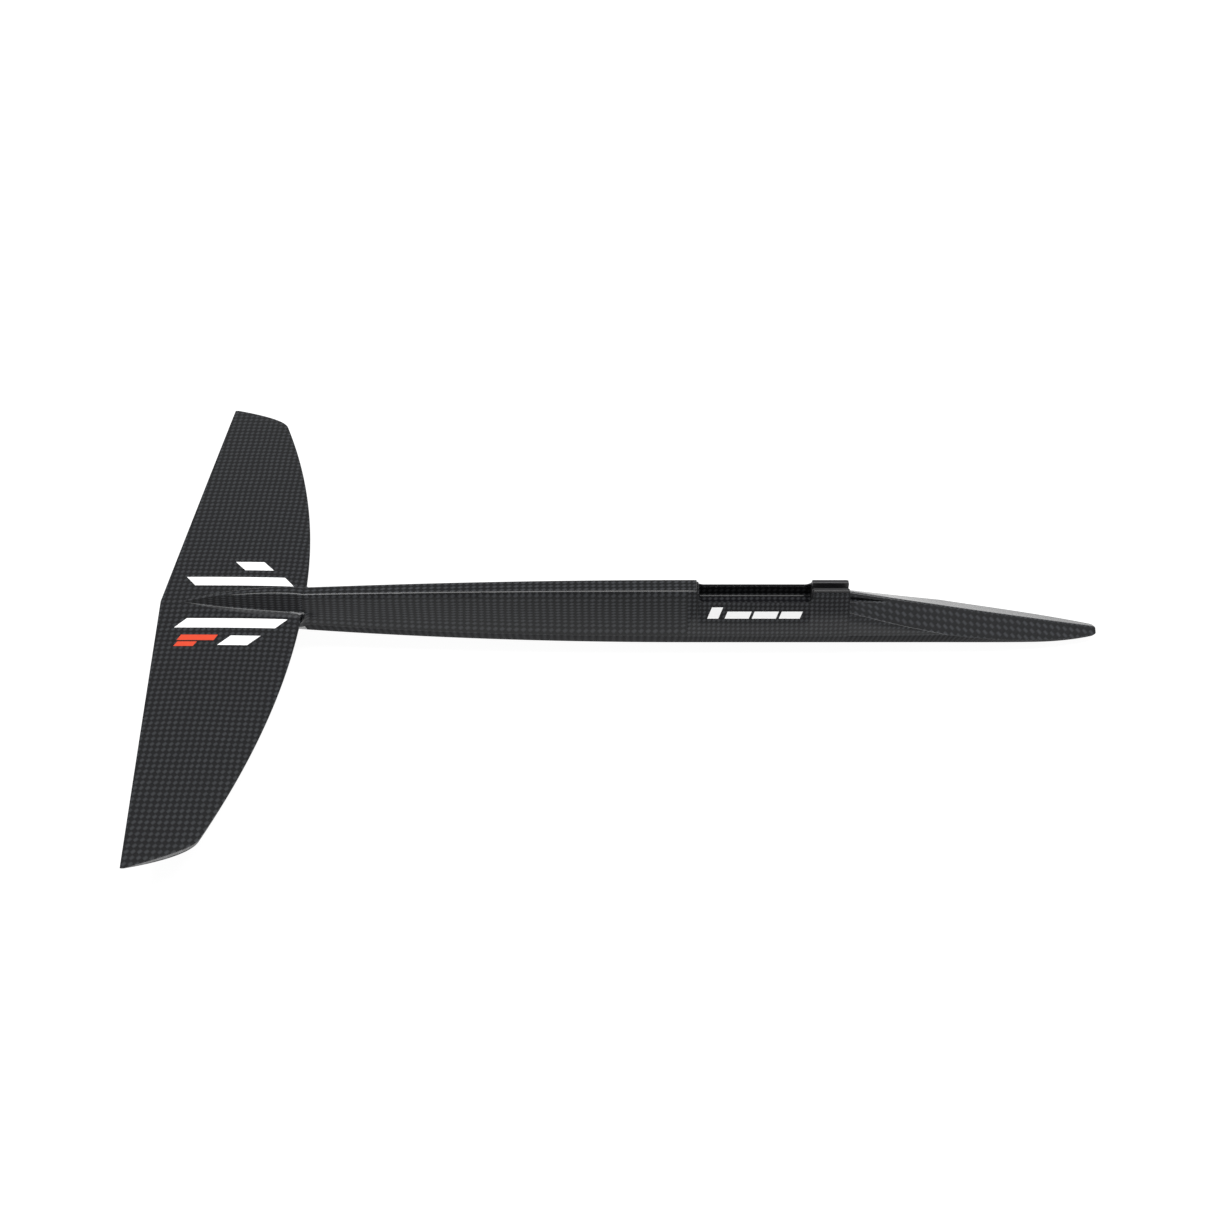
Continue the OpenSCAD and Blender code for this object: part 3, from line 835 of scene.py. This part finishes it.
def tip_station(t):
    x0 = le_curve(TIP_Y0)
    x1 = x0 - 2 * LE_SWEEP * TIP_Y0 / HALF_SPAN ** 2 * (TIP_Y1 - TIP_Y0)
    return bezier(TIP_Y0, TIP_Y1, HALF_SPAN, t), bezier(x0, x1, te(HALF_SPAN), t)


def thick(c, u):
    """Thickness at a share u of the chord c: the four-digit aerofoil's, and the trailing edge's."""
    form = (0.2969 * math.sqrt(u) - 0.126 * u - 0.3516 * u ** 2 + 0.2843 * u ** 3
            - 0.1015 * u ** 4)
    return 10 * THICKNESS * c * form + TE_THICK * u * min(1, c / TE_FADE)


def wing_top(y, le, u):
    """Height of the wing's top at a share u of the chord that starts at le."""
    c = le - te(abs(y))
    behind = le_curve(abs(y)) - le + u * c
    chord_z = LE_Z - math.tan(ANHEDRAL) * abs(y) + behind * math.sin(INCIDENCE)
    return chord_z + UPPER_SHARE * thick(c, u)


def top_at(x, y):
    le = le_curve(abs(y))
    return wing_top(y, le, clamp01((le - x) / (le - te(abs(y)))))


def low_at(x, y):
    le = le_curve(abs(y))
    c = le - te(abs(y))
    u = clamp01((le - x) / c)
    return wing_top(y, le, u) - thick(c, u)


def wing_stations():
    """(y, leading edge) of each section, from starboard to port."""
    half = [(y, le_curve(y)) for y in steps(0, TIP_Y0, SPAN_STEPS)]
    half += [tip_station(t) for t in steps(0, TIP_STOP, TIP_STEPS)[1:]]
    return [(-y, le) for y, le in reversed(half[1:])] + half


def wing_grid(level):
    """Points of one wing surface. level(top, thickness) gives its height."""
    grid = []
    for y, le in wing_stations():
        c = le - te(abs(y))
        row = []
        for i in range(WING_PANELS + 1):
            u = (1 - math.cos(math.pi * i / WING_PANELS)) / 2
            row.append((le - u * c, y, level(wing_top(y, le, u), thick(c, u))))
        grid.append(row)
    return grid


def wing_cloth(place, _face):
    return place.x, place.y * WING_LAY


def make_wing(weave):
    def core(t):
        return max(0.0, t / 2 - SKIN)

    top = thick_loft("tail_wing_top_skin", wing_grid(lambda z, t: z),
                     wing_grid(lambda z, t: z - t / 2 + core(t)))
    finish_piece(top, weave, "carbon_weave", "tail_upper_skin", angle=60, cloth=wing_cloth)
    low = thick_loft("tail_wing_bottom_skin", wing_grid(lambda z, t: z - t),
                     wing_grid(lambda z, t: z - t / 2 - core(t)))
    finish_piece(low, weave, "carbon_weave", "tail_lower_skin", angle=60, cloth=wing_cloth)


# ---------------------------------------------------------------- root fairings

FAIRING_LEN = 61.5
FAIRING_STEPS = 60
FOOT_SUNK = 0.15               # how deep a fairing's hidden side lies in the wing
END_ABOVE = 0.1                # height of the upper fairing's end above the wing
END_BELOW = 0.4                # and of the lower one's below it
FOOT_HALF = 8.5                # half width of the upper fairing's foot, tapering back
FOOT_BLEND = 0.04              # share of its length in which it leaves the boom's section
LEAST_HALF = 0.25              # half width of its ridge at the end
FILLET = 2.2                   # hollow fillet along the foot
FILLET_GROWS = 0.03            # share of the length in which it grows
FILLET_FADES = 0.6             # part of it that is lost by the end
KEEL_STRAIGHT = 0.32           # straight and bent shares of the lower fairing's rise
KEEL_BENT = 0.68
CREASE_CLIMB = 6               # how far its widest line would rise
JOINT_TOP = sec_top(JOINT_X)
JOINT_TOP_HALF = sec_top_half(JOINT_X)
JOINT_FLANK_HALF = sec_flank_half(JOINT_X)
JOINT_FLANK_Z = sec_flank_z(JOINT_X)
JOINT_KEEL = sec_keel(JOINT_X)


def fair_x(t):
    return JOINT_X - FAIRING_LEN * t


def fairing_steps():
    """Shares of the fairing's length, closer towards the end, which stays short of a point."""
    return [1 - (1 - i / FAIRING_STEPS) ** 1.3 for i in range(FAIRING_STEPS)] + [0.995]


def ridge_outline(t):
    """Half outline of the upper fairing: foot on the wing, hollow fillet, flank, edge, top."""
    x = fair_x(t)
    a = max(LEAST_HALF, JOINT_TOP_HALF * (1 - t) ** 0.6)
    b = mix(JOINT_FLANK_HALF - LEAN * (LE_Z - JOINT_FLANK_Z), FOOT_HALF * (1 - t) ** 0.4,
            clamp01(t / FOOT_BLEND))
    high = top_at(x, 0) + END_ABOVE + (JOINT_TOP - LE_Z - END_ABOVE) * (1 - t * t)
    foot = top_at(x, b)
    wall = min(a + LEAN * (high - foot), b - 0.35)
    hollow = FILLET * clamp01(t / FILLET_GROWS) * (1 - FILLET_FADES * t)
    return rounded([(b + 0.6, top_at(x, b + 0.6) - 0.05, 0), (wall, foot, hollow),
                    (a, high, mix(EDGE_R, 0.5, t)), (0, high, 0)], 8)


def keel_outline(t):
    """Half outline of the lower fairing: foot on the wing, flank, crease, keel edge, keel."""
    x = fair_x(t)
    z1 = low_at(fair_x(1), 0) - END_BELOW
    keel = z1 + (JOINT_KEEL - z1) * (1 - KEEL_STRAIGHT * t - KEEL_BENT * t * t)
    flank_z = max(keel + 0.1, min(JOINT_FLANK_Z + CREASE_CLIMB * t ** 1.5, low_at(x, 0) - 0.3))
    half = max(0.6, JOINT_FLANK_HALF * (1 - t) ** 0.5)
    keel_half = max(0.3, JOINT_TOP_HALF * (1 - t) ** 0.6)
    root = max(0.4, half - LEAN * max(0.0, low_at(x, 0) - flank_z))
    return rounded([(root, low_at(x, root) + 0.02, 0), (half, flank_z, CREASE_R * (1 - t)),
                    (keel_half, keel, KEEL_R * (1 - t)), (0, keel, 0)], 8)


COLLAR_Y = 7                   # the wing's section that the collar follows
COLLAR_R = 4.2                 # fillet where the leading edge meets the flank
COLLAR_END_R = 0.15            # and at the collar's two ends
COLLAR_REACH = 0.14            # how far back along the chord the fillet runs
COLLAR_STEPS = 32              # stations round the leading edge
COLLAR_ARC = 10                # segments across the fillet
COLLAR_CLOSES = 0.03           # the flanks draw in this much for each millimetre behind the joint
COLLAR_SUNK = 0.05             # how deep the fillet's root lies in the flank
COLLAR_DEEP = 0.3              # and the collar's hidden side behind it
FLANK_OUT = (0.926, 0.378)     # outward and upward parts of a flank's normal


def leading_collar(side):
    """A hollow fillet round the wing's leading edge against one flank of the boom."""
    le = le_curve(COLLAR_Y)
    c = le - te(COLLAR_Y)
    outline = []
    for k in steps(-1, 1, COLLAR_STEPS):
        u = COLLAR_REACH * k * k
        top = wing_top(COLLAR_Y, le, u)
        outline.append((k, Vector((le - u * c, top if k < 0 else top - thick(c, u)))))
    outer, inner = [], []
    out = Vector((0, side * FLANK_OUT[0], FLANK_OUT[1]))
    for i, (k, p) in enumerate(outline):
        run = outline[min(COLLAR_STEPS, i + 1)][1] - outline[max(0, i - 1)][1]
        face = Vector((-run.y, 0, run.x)).normalized()
        radius = COLLAR_R * (1 - abs(k) ** 2.5) + COLLAR_END_R
        half = (JOINT_FLANK_HALF - LEAN * (p.y - JOINT_FLANK_Z)
                - COLLAR_CLOSES * (JOINT_X - p.x) - COLLAR_SUNK)
        root = Vector((p.x, side * half, p.y))
        centre = root + (face + out) * (radius / (1 + face.dot(out)))
        outer.append([centre - face.lerp(out, a).normalized() * radius
                      for a in steps(0, 1, COLLAR_ARC)])
        inner.append([root - (face + out) * COLLAR_DEEP] * (COLLAR_ARC + 1))
    return thick_loft("collar", outer, inner)


def make_fairings(weave):
    for name, outline, ground, sink, node in (
            ("root_ridge", ridge_outline, top_at, -FOOT_SUNK, "upper_root_fairing"),
            ("root_keel", keel_outline, low_at, FOOT_SUNK, "lower_root_fairing")):
        outer, inner = [], []
        for t in fairing_steps():
            x, line = fair_x(t), both_sides(outline(t))
            outer.append(placed(x, line))
            inner.append([(x, y, ground(x, y) + sink) for y in never_wider(line)])
        piece = thick_loft(name, outer, inner)
        if ground is top_at:
            piece = joined(name, [piece, leading_collar(-1), leading_collar(1)])
        finish_piece(piece, weave, "carbon_weave", node, angle=50, cloth=fuselage_cloth)


# ---------------------------------------------------------------- films

FILM_PROUD = 0.06              # how far a film on the wing stands above the skin
FILM_SUNK = 0.05               # and how deep its underside lies in it
FILM_LONG = 48                 # panels along a film on the wing
FILM_WIDE = 8                  # and across it


def film_on_wing(side, y_in, y_out, aft, fore, lag):
    """Top and underside grids of a film that follows the wing's top from aft to fore, slanted so
    that its outer end lies back by lag."""
    top, low = [], []
    for back in steps(aft, fore, FILM_LONG):
        flat = [(back - lag * s, mix(y_in, y_out, s)) for s in steps(0, 1, FILM_WIDE)]
        top.append([(x, side * y, top_at(x, y) + FILM_PROUD) for x, y in flat])
        low.append([(x, side * y, top_at(x, y) - FILM_SUNK) for x, y in flat])
    return top, low


def joined(name, parts):
    bm = bmesh.new()
    for part in parts:
        bm.from_mesh(part.data)
        bpy.data.objects.remove(part)
    mesh = bpy.data.meshes.new(name)
    bm.to_mesh(mesh)
    bm.free()
    return new_object(name, mesh)


def make_wing_films(white, orange):
    """Two stripes on each side and a pair of plain bars, each (y_in, y_out, aft, fore, lag)."""
    sets = (("long_stripe_films", (-1, 1), [(12, 18.4, -287, -236.4, 5.4)],
             white, "white_film", "long_stripes"),
            ("short_stripe_films", (-1, 1), [(23.8, 30.2, -263.1, -248.3, 5.8)],
             white, "white_film", "short_stripes"),
            ("size_bars", (-1,), [(23.3, 27, -288, -269.6, 1.6), (27.9, 31, -289, -279.3, 1.6)],
             orange, "orange_film", "size_mark"))
    for name, sides, films, ink, slot, node in sets:
        parts = [thick_loft("film", *film_on_wing(side, *film)) for side in sides for film in films]
        finish_piece(joined(name, parts), ink, slot, node)


BAR_FOOT = -1.4                # height of the flank bars' lower edge
BAR_SHORT = 3.8                # their height up the flank
BAR_TALL = 6.1                 # and that of the first one
BAR_SLANT = 1.4                # forward lean over BAR_SHORT
BAR_LONG = 12                  # panels along a bar
BAR_WIDE = 4                   # and up it
BAR_RISE = 0.05                # from a bar's face or underside to the flank


def flank_bar(side, x0, length, height, rise):
    """One surface of a slanted bar, held rise away from a flank."""
    grid = []
    for i in range(BAR_LONG + 1):
        row = []
        for k in range(BAR_WIDE + 1):
            up = height * k / BAR_WIDE
            z = BAR_FOOT + up / FLANK_STRETCH
            x = x0 + length * i / BAR_LONG + BAR_SLANT * up / BAR_SHORT
            row.append((x, side * (FLANK_HALF - LEAN * (z - FLANK_Z) + rise), z))
        grid.append(row)
    return grid


def make_flank_films(white):
    """Plain slanted bars on both flanks, each (aft end, length, height)."""
    bars = ((-24.5, 5.6, BAR_TALL), (-15.7, 12.2, BAR_SHORT), (-2, 12.2, BAR_SHORT),
            (11.7, 10.6, BAR_SHORT))
    parts = [thick_loft("film", flank_bar(side, *bar, BAR_RISE), flank_bar(side, *bar, -BAR_RISE))
             for side in (-1, 1) for bar in bars]
    finish_piece(joined("flank_bars", parts), white, "white_film", "flank_marks")


# ---------------------------------------------------------------- camera, floor and light

LOOK_AT = Vector((-75.2, 0, -3.1)) * MM
DISTANCE = 0.8615              # from the camera to LOOK_AT, in metres
ELEVATION = math.radians(44.5)
LENS = 50                      # millimetres, on a sensor SENSOR wide
SENSOR = 36


def make_camera():
    data = bpy.data.cameras.new("camera")
    data.lens = LENS
    data.sensor_width = SENSOR
    camera = new_object("camera", data)
    camera.location = LOOK_AT + DISTANCE * Vector((0, -math.cos(ELEVATION), math.sin(ELEVATION)))
    camera.rotation_euler = (math.pi / 2 - ELEVATION, 0, 0)
    bpy.context.scene.camera = camera


def softbox(place, size, power):
    """A rectangular lamp that shines straight down, size along x and along y in metres."""
    data = bpy.data.lights.new("softbox", "AREA")
    data.shape = "RECTANGLE"
    data.size, data.size_y = size
    data.energy = power
    new_object("softbox", data).location = place


SKY = 0.41                     # brightness of the white surroundings
FLOOR_GLOW = 0.95              # the floor is lit from below, as a light table is
FLOOR_GREY = 0.15              # its own shade
FLOOR_HALF = 6                 # half of its side, in metres
FLOOR_GAP = 0.0004             # its clearance under the keel, in metres
SOFTBOX_POWER = 34             # the lamp overhead, in watts
SOFTBOX_PLACE = (-0.08, 0.1, 1.5)
SOFTBOX_SIZE = (2.0, 0.8)


def make_studio():
    bm = bmesh.new()
    bmesh.ops.create_grid(bm, x_segments=1, y_segments=1, size=FLOOR_HALF)
    mesh = bpy.data.meshes.new("floor")
    bm.to_mesh(mesh)
    bm.free()
    floor = new_object("floor", mesh)
    floor.location.z = KEEL_Z * MM - FLOOR_GAP
    n = Nodes("floor_paper")
    n.shader.inputs["Base Color"].default_value = (FLOOR_GREY, FLOOR_GREY, FLOOR_GREY, 1)
    n.shader.inputs["Roughness"].default_value = 0.9
    n.shader.inputs["Specular IOR Level"].default_value = 0.1
    n.shader.inputs["Emission Color"].default_value = (1, 1, 1, 1)
    n.shader.inputs["Emission Strength"].default_value = FLOOR_GLOW
    mesh.materials.append(n.material)
    world = bpy.data.worlds.new("studio")
    world.use_nodes = True
    background = world.node_tree.nodes["Background"].inputs
    background["Color"].default_value = (1, 1, 1, 1)
    background["Strength"].default_value = SKY
    bpy.context.scene.world = world
    softbox(SOFTBOX_PLACE, SOFTBOX_SIZE, SOFTBOX_POWER)
    bpy.context.scene.view_settings.view_transform = "Standard"


# ---------------------------------------------------------------- the build

make_camera()
make_studio()

# Copies of the carbon cloth whose colours hold painted light and shade for how light falls on each
# part: the nose's is painted lighter and also has narrower tows, and the wing's, the keel's and the
# liner's are painted darker.
weave = carbon_weave("carbon_cloth", (0.037, 0.039, 0.043), (0.004, 0.0042, 0.005))
nose_weave = carbon_weave("carbon_cloth_nose", (0.040, 0.042, 0.047), (0.0115, 0.012, 0.013),
                          slim=1.7)
wing_weave = carbon_weave("carbon_cloth_wing", (0.031, 0.033, 0.0365), (0.0042, 0.0044, 0.0052))
keel_cloth = carbon_weave("carbon_cloth_keel", (0.03, 0.031, 0.034), (0.004, 0.004, 0.005),
                          shine=0.07, gloss=0)
liner = carbon_weave("carbon_cloth_liner", (0.03, 0.031, 0.034), (0.004, 0.004, 0.005), shine=0.5)
make_boom(weave, keel_cloth)
make_nose(nose_weave, keel_cloth)
make_pocket(liner, moulded_carbon("moulded_carbon", (0.012, 0.012, 0.013)))
make_wing(wing_weave)
make_fairings(weave)
white_ink = printed_film("white_ink", (0.9, 0.9, 0.9), (0.86, 0.86, 0.86))
make_wing_films(white_ink, printed_film("orange_ink", (0.64, 0.04, 0.002), (0.57, 0.034, 0.0015)))
make_flank_films(white_ink)

straight_carbon = unidirectional("straight_carbon")
core_foam = foam("core_foam")
inner_materials = {
    "boom_foam_core": core_foam, "tail_front_core": core_foam, "tail_rear_core": core_foam,
    "upper_spar_cap": straight_carbon, "lower_spar_cap": straight_carbon,
    "tail_spar": straight_carbon, "spine_bar": straight_carbon,
    "keel_block": glass_laminate("glass_laminate"),
}
for node, material in inner_materials.items():
    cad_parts[node].data.materials.clear()
    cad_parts[node].data.materials.append(material)
